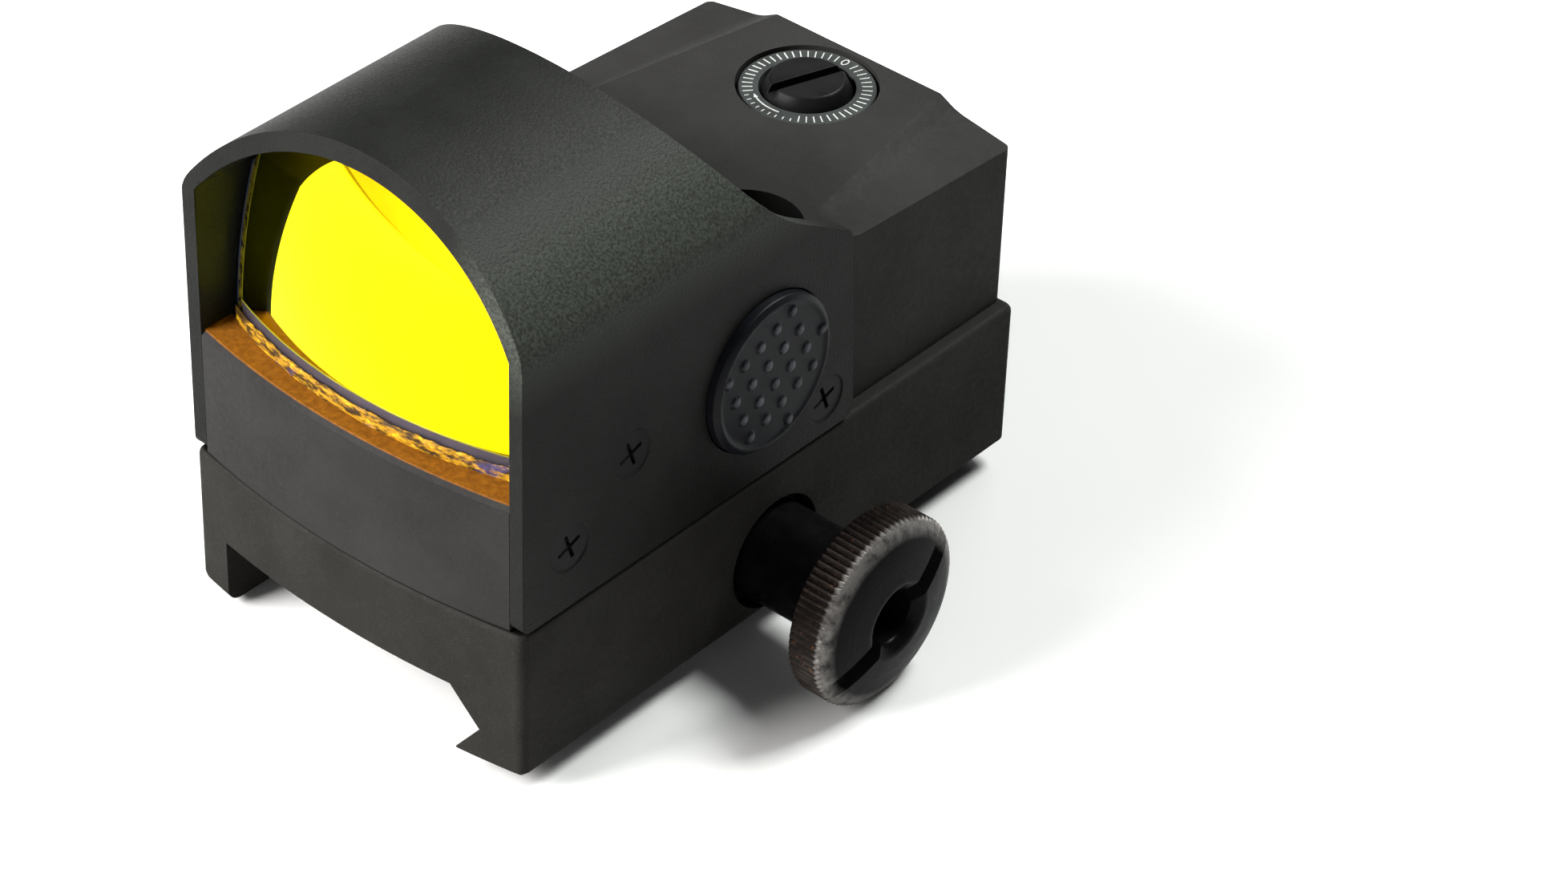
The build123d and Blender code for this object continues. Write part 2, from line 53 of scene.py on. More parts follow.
def makeCamera(s):
    # the camera's own X is level, then both X and Y turn by the roll about the line of sight
    back = Vector(s["back"]).normalized()
    level = Vector((0, 0, 1)).cross(back).normalized()
    upright = back.cross(level)
    roll = math.radians(s["roll"])
    right = level * math.cos(roll) + upright * math.sin(roll)
    up = upright * math.cos(roll) - level * math.sin(roll)
    data = bpy.data.cameras.new("camera")
    data.lens = s["lens"]
    data.sensor_width = s["sensorWidth"]
    data.clip_start, data.clip_end = s["clip"]
    camera = bpy.data.objects.new("camera", data)
    turn = Matrix((right, up, back)).transposed().to_4x4()
    camera.matrix_world = Matrix.Translation(s["place"]) @ turn
    bpy.context.scene.collection.objects.link(camera)
    bpy.context.scene.camera = camera


lightSettings = dict(
    key=dict(place=(-0.31, -0.54, 0.40), size=0.36, power=20.5, tint=(1.0, 0.985, 0.965)),
    rearTop=dict(place=(-0.12, 0.50, 0.52), size=0.36, power=1.8, tint=(1.0, 1.0, 1.0)),
    rightTop=dict(place=(0.13, 0.44, 0.62), size=0.26, power=10.0, tint=(0.97, 1.0, 0.97)),
)
worldSettings = dict(tint=(1.0, 1.0, 1.0), strength=0.015)
cardSettings = dict(
    halfWidth=0.9, y=-0.74, low=-0.10, high=0.34,
    tint=(1.0, 1.0, 1.0), glow=0.95, tone=(0.8, 0.8, 0.8), blot=0.1, rough=(0.85, 0.95),
)


def makeLights(lights, world):
    for name, s in lights.items():
        data = bpy.data.lights.new(name, "AREA")
        data.size = s["size"]
        data.energy = s["power"]
        data.color = s["tint"]
        lamp = bpy.data.objects.new(name, data)
        lamp.location = s["place"]
        lamp.rotation_mode = "QUATERNION"
        lamp.rotation_quaternion = (-Vector(s["place"])).to_track_quat("-Z", "Y")
        bpy.context.scene.collection.objects.link(lamp)
    surround = bpy.data.worlds.new("surround")
    surround.use_nodes = True
    background = surround.node_tree.nodes["Background"]
    background.inputs["Color"].default_value = (*world["tint"], 1)
    background.inputs["Strength"].default_value = world["strength"]
    bpy.context.scene.world = surround
    bpy.context.scene.view_settings.view_transform = "Standard"


def makeCard(s):
    # a pale glowing card far in front, which the lens mirrors above the floor
    w = s["halfWidth"]
    corners = [(-w, s["y"], s["low"]), (w, s["y"], s["low"]), (w, s["y"], s["high"]), (-w, s["y"], s["high"])]
    mesh = bpy.data.meshes.new("card")
    mesh.from_pydata(corners, [], [[3, 2, 1, 0]])
    card = bpy.data.objects.new("card", mesh)
    bpy.context.scene.collection.objects.link(card)
    m = Mixer("cardGlow")
    m.shader.inputs["Emission Color"].default_value = (*s["tint"], 1)
    m.shader.inputs["Emission Strength"].default_value = s["glow"]
    paint(card, m.finish((*s["tone"], 1), m.mid(m.noise(s["blot"]), *s["rough"])))


def gridFaces(rows, columns, wrapRows=False, wrapColumns=False):
    # quads of a rows by columns grid of points, point (i, j) numbered i * columns + j
    i = np.arange(rows if wrapRows else rows - 1)
    j = np.arange(columns if wrapColumns else columns - 1)
    i, j = (a.ravel() for a in np.meshgrid(i, j, indexing="ij"))
    iNext, jNext = (i + 1) % rows, (j + 1) % columns
    corners = (i * columns + j, i * columns + jNext, iNext * columns + jNext, iNext * columns + j)
    return np.stack(corners, axis=1)


meshSettings = dict(mergeWithin=1e-7, sliverUnder=1e-8, sharpAngle=32.0)


def makePiece(name, points, faces, sharpAngle=meshSettings["sharpAngle"]):
    # a mesh object from arrays: merges doubles, faces outwards, smooth with sharp creases
    mesh = bpy.data.meshes.new(name)
    mesh.from_pydata(points.reshape(-1, 3), [], faces)
    work = bmesh.new()
    work.from_mesh(mesh)
    bmesh.ops.remove_doubles(work, verts=work.verts, dist=meshSettings["mergeWithin"])
    bmesh.ops.dissolve_degenerate(work, edges=work.edges, dist=meshSettings["sliverUnder"])
    bmesh.ops.recalc_face_normals(work, faces=work.faces)
    work.to_mesh(mesh)
    work.free()
    piece = bpy.data.objects.new(name, mesh)
    bpy.context.scene.collection.objects.link(piece)
    shadeByAngle(mesh, sharpAngle)
    return piece


def shadeByAngle(mesh, sharpAngle):
    mesh.shade_smooth()
    mesh.set_sharp_from_angle(angle=math.radians(sharpAngle))


def bakeModifiers(piece):
    # the evaluated mesh replaces the base mesh, and the modifiers go
    graph = bpy.context.evaluated_depsgraph_get()
    made = bpy.data.meshes.new_from_object(piece.evaluated_get(graph))
    piece.modifiers.clear()
    old = piece.data
    piece.data = made
    bpy.data.meshes.remove(old)


def cutOut(piece, cutter):
    # piece minus cutter, and the cutter is thrown away
    cut = piece.modifiers.new("cut", "BOOLEAN")
    cut.operation = "DIFFERENCE"
    cut.solver = "EXACT"
    cut.object = cutter
    bakeModifiers(piece)
    bpy.data.objects.remove(cutter)


def paint(piece, material):
    piece.data.materials.clear()
    piece.data.materials.append(material)


softSettings = dict(mergeWithin=2e-7, flatWithin=0.4, bevelOver=38.0, segments=2)      # metres and degrees


def softCopy(node, name, width, s):
    # the node's own shape as one joined skin, with its crisp edges broken by a small bevel
    source = nodes[node]
    mesh = bpy.data.meshes.new(name)
    work = bmesh.new()
    work.from_mesh(source.data)
    bmesh.ops.remove_doubles(work, verts=work.verts, dist=s["mergeWithin"])
    bmesh.ops.dissolve_limit(
        work, angle_limit=math.radians(s["flatWithin"]), verts=work.verts, edges=work.edges
    )
    work.to_mesh(mesh)
    work.free()
    piece = bpy.data.objects.new(name, mesh)
    bpy.context.scene.collection.objects.link(piece)
    bevel = piece.modifiers.new("edges", "BEVEL")
    bevel.width = width
    bevel.segments = s["segments"]
    bevel.limit_method = "ANGLE"
    bevel.angle_limit = math.radians(s["bevelOver"])
    bevel.use_clamp_overlap = True
    flat = piece.modifiers.new("flats", "WEIGHTED_NORMAL")
    flat.mode = "FACE_AREA_WITH_ANGLE"
    flat.keep_sharp = False
    mesh.shade_smooth()
    bakeModifiers(piece)
    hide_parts(node)
    return piece


class Mixer:
    # a small writer for one material's nodes
    def __init__(self, name):
        self.material = bpy.data.materials.new(name)
        self.material.use_nodes = True
        self.tree = self.material.node_tree
        self.tree.nodes.clear()
        self.out = self.node("ShaderNodeOutputMaterial")
        self.shader = self.node("ShaderNodeBsdfPrincipled")
        self.join(self.shader.outputs["BSDF"], self.out.inputs["Surface"])
        self.place = self.node("ShaderNodeTexCoord").outputs["Object"]

    def node(self, kind, **settings):
        made = self.tree.nodes.new(kind)
        for key, value in settings.items():
            setattr(made, key, value)
        return made

    def join(self, source, target):
        self.tree.links.new(source, target)

    def feed(self, target, value):
        if isinstance(value, bpy.types.NodeSocket):
            self.join(value, target)
        else:
            target.default_value = value

    def math(self, kind, a, b=0.0):
        made = self.node("ShaderNodeMath", operation=kind)
        for socket, value in zip(made.inputs, (a, b)):
            self.feed(socket, value)
        return made.outputs[0]

    def noise(self, size, detail=2.0, rough=0.5, place=None):
        # size is the width of a typical blot, in metres
        made = self.node("ShaderNodeTexNoise")
        self.join(place or self.place, made.inputs["Vector"])
        made.inputs["Scale"].default_value = 1 / size
        made.inputs["Detail"].default_value = detail
        made.inputs["Roughness"].default_value = rough
        return made.outputs["Fac"]

    def stretched(self, scale, turn=(0, 0, 0)):
        # the place on the piece, turned and then scaled along each axis
        made = self.node("ShaderNodeMapping")
        self.join(self.place, made.inputs["Vector"])
        made.inputs["Rotation"].default_value = turn
        made.inputs["Scale"].default_value = scale
        return made.outputs["Vector"]

    def spread(self, value, low, high, toLow=0.0, toHigh=1.0):
        # value from low..high to toLow..toHigh, clamped
        made = self.node("ShaderNodeMapRange")
        made.clamp = True
        for name, v in (
            ("Value", value), ("From Min", low), ("From Max", high), ("To Min", toLow), ("To Max", toHigh),
        ):
            self.feed(made.inputs[name], v)
        return made.outputs["Result"]

    def mid(self, value, toLow=0.0, toHigh=1.0):
        # the middle of a noise, where most of it lies, to toLow..toHigh
        return self.spread(value, 0.3, 0.7, toLow, toHigh)

    def blend(self, share, first, second):
        made = self.node("ShaderNodeMix", data_type="RGBA")
        self.feed(made.inputs[0], share)
        for socket, value in ((made.inputs[6], first), (made.inputs[7], second)):
            self.feed(socket, value if isinstance(value, bpy.types.NodeSocket) else (*value, 1))
        return made.outputs[2]

    def axis(self, name):
        made = self.node("ShaderNodeSeparateXYZ")
        self.join(self.place, made.inputs[0])
        return made.outputs[name]

    def reach(self, centre, along=(1, 1, 1)):
        # distance from a centre, with any axis left out by a zero in along
        moved = self.node("ShaderNodeVectorMath", operation="SUBTRACT")
        self.join(self.place, moved.inputs[0])
        moved.inputs[1].default_value = centre
        scaled = self.node("ShaderNodeVectorMath", operation="MULTIPLY")
        self.join(moved.outputs[0], scaled.inputs[0])
        scaled.inputs[1].default_value = along
        length = self.node("ShaderNodeVectorMath", operation="LENGTH")
        self.join(scaled.outputs[0], length.inputs[0])
        return length.outputs["Value"]

    def bump(self, height, depth, under=None):
        made = self.node("ShaderNodeBump")
        made.inputs["Strength"].default_value = 1.0
        made.inputs["Distance"].default_value = depth
        self.join(height, made.inputs["Height"])
        if under is not None:
            self.join(under, made.inputs["Normal"])
        return made.outputs["Normal"]

    def finish(self, colour, rough, normal=None, **sockets):
        # colour and rough are sockets or values; the rest are constants on the shader
        self.feed(self.shader.inputs["Base Color"], colour)
        self.feed(self.shader.inputs["Roughness"], rough)
        if normal is not None:
            self.join(normal, self.shader.inputs["Normal"])
        for name, value in sockets.items():
            self.shader.inputs[name.replace("_", " ")].default_value = value
        return self.material


# the painted shade along the front joint between base and housing
seamShadeSettings = dict(
    height=6.03e-3, halfWidth=(0.05e-3, 0.15e-3), front=(-22.9e-3, -22.6e-3), tone=(0.0012, 0.0011, 0.0010),
)


def paintedSeamShade(m, tone, s):
    # painted shade: a dark line along the joint between base and housing, across the front only, where the
    # groove lies in shade
    gap = m.math("ABSOLUTE", m.math("SUBTRACT", m.axis("Z"), s["height"]))
    seam = m.spread(gap, *s["halfWidth"], 1.0, 0.0)
    front = m.spread(m.axis("Y"), *s["front"], 1.0, 0.0)
    return m.blend(m.math("MULTIPLY", seam, front), tone, s["tone"])


def paintedAmberLight(m, tone, s):
    # painted light: amber thrown by the lens onto the housing's deck, up to the lens's front face
    outside = m.spread(m.reach(s["centre"]), *s["radii"])
    high = m.spread(m.axis("Z"), *s["heights"])
    near = m.spread(m.axis("Y"), *s["rear"], 1.0, 0.0)
    thrownAmber = m.math("MULTIPLY", m.math("MULTIPLY", outside, high), near)
    amber = m.blend(m.mid(m.noise(*s["mottle"])), s["deep"], s["bright"])
    return m.blend(thrownAmber, tone, amber)


def paintedShoulderSheen(m, tone, pebble, s):
    # painted sheen: a paler tone where the arch turns into the right flank, a painted highlight in place of
    # the coat's sheen
    shoulder = m.math("MULTIPLY", m.spread(m.axis("X"), *s["across"]), m.spread(m.axis("Z"), *s["upwards"]))
    return m.blend(m.math("MULTIPLY", shoulder, m.spread(pebble, *s["pebbles"])), tone, s["tone"])


def paintedInnerShade(m, tone, s):
    # painted shade: a darker tone on the hood's inner walls, so that the yellow thrown back by the lens stays
    # dim
    inner = m.spread(m.math("ABSOLUTE", m.axis("X")), *s["wall"], 1.0, 0.0)
    below = m.spread(m.axis("Z"), *s["upTo"], 1.0, 0.0)
    return m.blend(m.math("MULTIPLY", inner, below), tone, s["tone"])


# detail and roughness of each noise, and the stretch of it that turns dark to light
coatNoise = dict(
    cloud=(3.0, 0.6), pebble=(2.0, 0.45), grain=(2.0, 0.6), cloudRange=(0.35, 0.68), fleckRange=(0.58, 0.80),
)


def grainCoat(name, s, n):
    # anodised or pebble-coated metal: pebbles over fine grain, with cloudy tone and roughness
    m = Mixer(name)
    cloud = m.noise(s["cloudSize"], *n["cloud"])
    pebble = m.noise(s["pebbleSize"], *n["pebble"])
    grain = m.noise(s["grainSize"], *n["grain"])
    tone = m.blend(m.spread(cloud, *n["cloudRange"]), s["dark"], s["light"])
    tone = m.blend(m.spread(grain, *n["fleckRange"], 0.0, s["fleck"]), tone, s["fleckTone"])
    # painted amber light on the deck in front of the lens
    if "thrownAmber" in s:
        tone = paintedAmberLight(m, tone, s["thrownAmber"])
    # painted shade along the front joint, on every coat
    tone = paintedSeamShade(m, tone, seamShadeSettings)
    if "shoulderSheen" in s:
        # painted sheen on the hood's right shoulder
        tone = paintedShoulderSheen(m, tone, pebble, s["shoulderSheen"])
        # painted shade on the hood's inner walls
        tone = paintedInnerShade(m, tone, s["inside"])
    relief = m.bump(pebble, s["pebbleDepth"])
    relief = m.bump(grain, s["grainDepth"], relief)
    return m.finish(tone, m.mid(pebble, *s["rough"]), relief, Specular_IOR_Level=s["specular"])


coatSettings = dict(
    baseCoat=dict(
        dark=(0.0115, 0.0110, 0.0100), light=(0.0160, 0.0153, 0.0140),
        fleckTone=(0.040, 0.039, 0.036), fleck=0.55,
        cloudSize=6e-3, pebbleSize=0.42e-3, grainSize=0.13e-3, pebbleDepth=0.020e-3, grainDepth=0.012e-3,
        rough=(0.54, 0.66), specular=0.03,
    ),
    jawCoat=dict(
        dark=(0.0115, 0.0113, 0.0108), light=(0.0155, 0.0152, 0.0145),
        fleckTone=(0.038, 0.038, 0.036), fleck=0.5,
        cloudSize=5e-3, pebbleSize=0.40e-3, grainSize=0.13e-3, pebbleDepth=0.018e-3, grainDepth=0.012e-3,
        rough=(0.54, 0.66), specular=0.03,
    ),
    hoodCoat=dict(
        dark=(0.0052, 0.0056, 0.0050), light=(0.0076, 0.0081, 0.0073),
        fleckTone=(0.030, 0.034, 0.028), fleck=0.40,
        cloudSize=5e-3, pebbleSize=0.19e-3, grainSize=0.09e-3, pebbleDepth=0.034e-3, grainDepth=0.012e-3,
        rough=(0.42, 0.54), specular=0.06,
        # painted sheen on the hood's right shoulder
        shoulderSheen=dict(across=(7.5e-3, 11.0e-3), upwards=(22.5e-3, 27.5e-3), pebbles=(0.35, 0.65, 0.35, 1.0),
                   tone=(0.036, 0.040, 0.034)),
        # painted shade on the hood's inner walls below the arch
        inside=dict(wall=(12.97e-3, 13.02e-3), upTo=(26e-3, 27e-3), tone=(0.0012, 0.0012, 0.0013)),
    ),
    bodyCoat=dict(
        dark=(0.0135, 0.0132, 0.0130), light=(0.0178, 0.0175, 0.0172),
        fleckTone=(0.040, 0.039, 0.038), fleck=0.45,
        cloudSize=7e-3, pebbleSize=0.38e-3, grainSize=0.12e-3, pebbleDepth=0.014e-3, grainDepth=0.009e-3,
        rough=(0.52, 0.64), specular=0.04,
        # painted light: the amber that the lens throws onto the deck in front of it
        thrownAmber=dict(centre=(0, 12.6e-3, 15.3e-3), radii=(35.8e-3, 36.0e-3), heights=(15.40e-3, 15.48e-3),
                   rear=(-18.5e-3, -18.0e-3), mottle=(0.5e-3, 4.0, 0.7),
                   deep=(0.080, 0.028, 0.0035), bright=(0.185, 0.068, 0.0065)),
    ),
)


metalShared = dict(lines=(0.25e-3, 3.0, 0.6), smudge=(2.2e-3, 3.0, 0.6), specular=0.07)


def metalFinish(name, s, shared):
    # plain metal: faint brushed lines, smudges in the gloss
    m = Mixer(name)
    lines = m.noise(*shared["lines"], m.stretched(s["brush"]))
    smudge = m.noise(*shared["smudge"])
    tone = m.blend(m.mid(smudge), s["dark"], s["light"])
    relief = m.bump(lines, s["depth"])
    rough = m.mid(smudge, *s["rough"])
    return m.finish(tone, rough, relief, Metallic=s["metallic"], Specular_IOR_Level=shared["specular"])


metalSettings = dict(
    blackScrew=dict(dark=(0.0030, 0.0030, 0.0032), light=(0.0055, 0.0054, 0.0056), brush=(1, 1, 1),
                    rough=(0.36, 0.50), depth=0.006e-3, metallic=0.0),
    groundSteel=dict(dark=(0.42, 0.42, 0.43), light=(0.58, 0.58, 0.59), brush=(0.1, 1, 1),
                     rough=(0.24, 0.38), depth=0.004e-3, metallic=1.0),
    cellSteel=dict(dark=(0.60, 0.60, 0.59), light=(0.72, 0.72, 0.71), brush=(0.1, 1, 1),
                   rough=(0.20, 0.34), depth=0.003e-3, metallic=1.0),
    springSteel=dict(dark=(0.45, 0.45, 0.46), light=(0.62, 0.62, 0.63), brush=(1, 1, 0.2),
                     rough=(0.18, 0.32), depth=0.003e-3, metallic=1.0),
    contactBrass=dict(dark=(0.62, 0.45, 0.17), light=(0.80, 0.60, 0.26), brush=(1, 0.1, 1),
                      rough=(0.22, 0.36), depth=0.004e-3, metallic=1.0),
    milledBrass=dict(dark=(0.56, 0.40, 0.16), light=(0.74, 0.55, 0.24), brush=(0.1, 1, 1),
                     rough=(0.28, 0.42), depth=0.008e-3, metallic=1.0),
    milledAluminium=dict(dark=(0.62, 0.62, 0.63), light=(0.76, 0.76, 0.77), brush=(0.1, 1, 1),
                         rough=(0.30, 0.45), depth=0.008e-3, metallic=1.0),
)


mouldedShared = dict(grain=(3.0, 0.6), mottle=(1.8e-3, 3.0, 0.6), specular=0.08)


def mouldedFinish(name, s, shared):
    # plastic, rubber or lacquer: fine grain and soft mottling, and a painted highlight on the pips where
    # there are any
    m = Mixer(name)
    grain = m.noise(s["grainSize"], *shared["grain"])
    mottle = m.noise(*shared["mottle"])
    tone = m.blend(m.mid(mottle), s["dark"], s["light"])
    if "pips" in s:
        # painted highlight: the pips' tops paler than the field, so that they read as raised
        pips = s["pips"]
        onPip = m.spread(m.axis("X"), *pips["height"])
        tone = m.blend(m.math("MULTIPLY", onPip, m.spread(mottle, *pips["share"])), tone, pips["tone"])
    relief = m.bump(grain, s["depth"])
    return m.finish(tone, m.mid(grain, *s["rough"]), relief, Specular_IOR_Level=shared["specular"])


mouldedSettings = dict(
    buttonRubber=dict(dark=(0.0028, 0.0030, 0.0042), light=(0.0048, 0.0052, 0.0070), grainSize=0.09e-3,
                      rough=(0.34, 0.50), depth=0.006e-3,
                      # the paler tone on the pips' tops is a painted highlight
                      pips=dict(height=(15.02e-3, 15.14e-3), share=(0.35, 0.65, 0.5, 1.0),
                                tone=(0.060, 0.062, 0.072))),
    sealRubber=dict(dark=(0.012, 0.012, 0.012), light=(0.022, 0.022, 0.022), grainSize=0.12e-3,
                    rough=(0.62, 0.78), depth=0.006e-3),
    switchPlastic=dict(dark=(0.030, 0.030, 0.031), light=(0.046, 0.046, 0.047), grainSize=0.10e-3,
                       rough=(0.42, 0.56), depth=0.005e-3),
    insulatingFilm=dict(dark=(0.48, 0.30, 0.06), light=(0.60, 0.40, 0.10), grainSize=0.20e-3,
                        rough=(0.22, 0.34), depth=0.003e-3),
    dialEnamel=dict(dark=(0.018, 0.020, 0.0195), light=(0.028, 0.031, 0.030), grainSize=0.10e-3,
                    rough=(0.36, 0.50), depth=0.005e-3),
    scaleWhite=dict(dark=(0.26, 0.27, 0.26), light=(0.38, 0.39, 0.38), grainSize=0.08e-3,
                    rough=(0.45, 0.62), depth=0.004e-3),
)


boardSettings = dict(
    weave=900, waver=0.4, depth=0.004e-3, mottle=(1.2e-3, 3.0, 0.6),
    dark=(0.010, 0.085, 0.030), light=(0.020, 0.140, 0.050), rough=(0.30, 0.42),
)


def boardLaminate(s):
    # green resist with a faint glass weave
    m = Mixer("boardLaminate")
    weave = m.node("ShaderNodeTexWave", wave_type="BANDS")
    m.join(m.place, weave.inputs["Vector"])
    weave.inputs["Scale"].default_value = s["weave"]
    weave.inputs["Distortion"].default_value = s["waver"]
    mottle = m.noise(*s["mottle"])
    tone = m.blend(m.mid(mottle), s["dark"], s["light"])
    return m.finish(tone, m.mid(mottle, *s["rough"]), m.bump(weave.outputs["Fac"], s["depth"]))


clearShared = dict(haze=(3e-3, 3.0, 0.6), lift=1.03, roughMore=0.02)
# the lens's index is set near 1, far below real glass, so that its faces add almost no white reflection
clearSettings = dict(
    lensGlass=dict(tint=(0.97, 0.98, 0.95), rough=0.0, ior=1.05),
    windowGlass=dict(tint=(0.95, 0.98, 0.98), rough=0.02, ior=1.5),
    clearBond=dict(tint=(0.75, 0.50, 0.10), rough=0.05, ior=1.5),
    lampEpoxy=dict(tint=(0.85, 0.08, 0.05), rough=0.05, ior=1.5),
)


def clearFinish(name, s, shared):
    # glass or clear resin: a trace of haze in the roughness
    m = Mixer(name)
    haze = m.noise(*shared["haze"])
    tone = m.blend(m.mid(haze), s["tint"], tuple(min(1, c * shared["lift"]) for c in s["tint"]))
    rough = m.mid(haze, s["rough"], s["rough"] + shared["roughMore"])
    return m.finish(tone, rough, None, Transmission_Weight=1.0, IOR=s["ior"])


def amberCoating(s):
    # a mirror layer just behind the lens's front face: yellow to orange, with a trace of see-through
    m = Mixer("amberCoating")
    z = m.axis("Z")
    cloud = m.noise(*s["cloud"])
    warm = m.spread(m.math("ADD", m.math("MULTIPLY", m.axis("X"), s["lean"]), z), *s["warmHeights"])
    warm = m.math("MULTIPLY", m.math("ADD", warm, m.math("MULTIPLY", cloud, s["cloudShare"])), s["warmShare"])
    tone = m.blend(m.spread(warm, *s["orangeRange"]), s["yellow"], s["orange"])
    # painted reflection: below the rim the coating is a dull violet, not mirror, for the dark deck reflected
    # there
    aboveRim = m.spread(z, *s["rim"])
    tone = m.blend(aboveRim, s["paintedDeckReflection"], tone)
    # a dull gold band painted down each side, with a cool blue line outside it that is a painted refraction
    # at the lens's edge
    side = m.math("ABSOLUTE", m.axis("X"))
    band = m.spread(side, *s["bandWidth"])
    gold = m.blend(m.spread(m.noise(*s["bandNoise"]), *s["bandRange"]), s["bandDark"], s["bandGold"])
    tone = m.blend(band, tone, m.blend(m.spread(side, *s["lineWidth"]), gold, s["line"]))
    m.feed(m.shader.inputs["Base Color"], tone)
    m.feed(m.shader.inputs["Roughness"], m.mid(cloud, *s["rough"]))
    m.feed(m.shader.inputs["Metallic"], m.math("MULTIPLY", aboveRim, m.math("SUBTRACT", 1.0, band)))
    clear = m.node("ShaderNodeBsdfTransparent")
    clear.inputs["Color"].default_value = (*s["through"], 1)
    both = m.node("ShaderNodeMixShader")
    both.inputs["Fac"].default_value = s["mirror"]
    m.join(clear.outputs[0], both.inputs[1])
    m.join(m.shader.outputs[0], both.inputs[2])
    m.join(both.outputs[0], m.out.inputs["Surface"])
    return m.material


coatingSettings = dict(
    # the violet tone below the rim is a painted reflection of the dark deck
    yellow=(1.0, 1.0, 0.002), orange=(1.0, 0.44, 0.003), paintedDeckReflection=(0.055, 0.047, 0.062),
    through=(0.10, 0.12, 0.16), mirror=0.97, rough=(0.015, 0.035), rim=(16.8e-3, 17.0e-3),
    cloud=(5e-3, 3.0, 0.6), lean=0.5, warmHeights=(21e-3, 33e-3), cloudShare=0.4, warmShare=0.8,
    orangeRange=(0.15, 0.95),
    bandWidth=(12.15e-3, 12.25e-3), bandNoise=(0.6e-3, 3.0, 0.6), bandRange=(0.35, 0.65),
    bandDark=(0.025, 0.020, 0.006), bandGold=(0.16, 0.125, 0.012),
    # the cool line near each side is a painted refraction
    lineWidth=(12.70e-3, 12.75e-3), line=(0.045, 0.060, 0.110),
)


def beadResin(s):
    # the ragged lower edge of the lens: amber chips over dark hollows, with violet patches
    m = Mixer("beadResin")
    streak = m.noise(*s["streak"], m.stretched(s["stretch"], s["slant"]))
    patch = m.noise(*s["patch"])
    tone = m.blend(m.spread(streak, *s["amberRange"]), s["dark"], s["amber"])
    tone = m.blend(m.spread(streak, *s["chipRange"]), tone, s["chip"])
    cool = m.math("MULTIPLY", m.spread(patch, *s["patchRange"]), m.spread(streak, *s["violetShare"]))
    tone = m.blend(cool, tone, s["violet"])
    relief = m.bump(streak, s["depth"])
    return m.finish(tone, m.mid(streak, *s["rough"]), relief, Specular_IOR_Level=s["specular"])


beadTones = dict(
    dark=(0.030, 0.016, 0.006), amber=(0.30, 0.15, 0.008), chip=(0.85, 0.56, 0.012),
    violet=(0.040, 0.032, 0.085),
    streak=(0.55e-3, 5.0, 0.72), stretch=(0.35, 1.0, 1.5), slant=(0, 0.5, 0), patch=(2.4e-3, 2.0, 0.5),
    amberRange=(0.44, 0.56), chipRange=(0.60, 0.68), patchRange=(0.54, 0.62),
    violetShare=(0.40, 0.60, 1.0, 0.2),
    depth=0.05e-3, rough=(0.30, 0.45), specular=0.06,
)


def knobFinish(s):
    # black oxide: rusty specks down in the knurl, grey wear on its ridges and rim, turning rings on the face
    m = Mixer("knobFinish")
    x = m.axis("X")
    radius = m.reach(s["axis"], (0, 1, 1))
    speck = m.noise(*s["speck"])
    blotch = m.noise(*s["blotch"])
    onRim = m.math("MULTIPLY", m.spread(radius, *s["rimRadii"]), m.spread(x, *s["rimFrom"]))
    ridge = m.spread(radius, *s["ridgeRadii"])
    rusty = m.blend(m.spread(speck, *s["brownRange"]), s["knurlDark"], s["knurlBrown"])
    rusty = m.blend(m.spread(m.noise(*s["rustSpots"]), *s["rustRange"]), rusty, s["rust"])
    rusty = m.blend(m.math("MULTIPLY", ridge, m.spread(blotch, *s["wornShare"])), rusty, s["worn"])
    tone = m.blend(onRim, m.blend(m.mid(blotch), s["black"], s["blackLight"]), rusty)
    # wear where the face turns into the knurl
    edge = m.math("MULTIPLY", m.spread(radius, *s["edgeRadii"]), m.spread(x, *s["edgeFrom"]))
    wear = m.math("MULTIPLY", edge, m.spread(m.noise(*s["scuff"]), *s["scuffRange"]))
    tone = m.blend(m.math("MULTIPLY", wear, s["bareShare"]), tone, s["bare"])
    rings = m.node("ShaderNodeTexNoise", noise_dimensions="1D")
    m.join(m.math("MULTIPLY", radius, s["ringsPerMetre"]), rings.inputs["W"])
    rings.inputs["Scale"].default_value = 1.0
    turned = m.math("MULTIPLY", rings.outputs["Fac"], m.spread(radius, *s["ringRadii"]))
    rough = m.mid(blotch, *s["rough"])
    rough = m.math("ADD", rough, m.math("MULTIPLY", m.spread(radius, *s["dullRadii"]), s["dullMore"]))
    rough = m.math("ADD", rough, m.math("MULTIPLY", onRim, s["rimMore"]))
    relief = m.bump(turned, s["ringDepth"])
    relief = m.bump(speck, s["speckDepth"], relief)
    m.feed(m.shader.inputs["Metallic"], m.math("MULTIPLY", wear, s["metalShare"]))
    return m.finish(tone, rough, relief, Specular_IOR_Level=s["specular"])


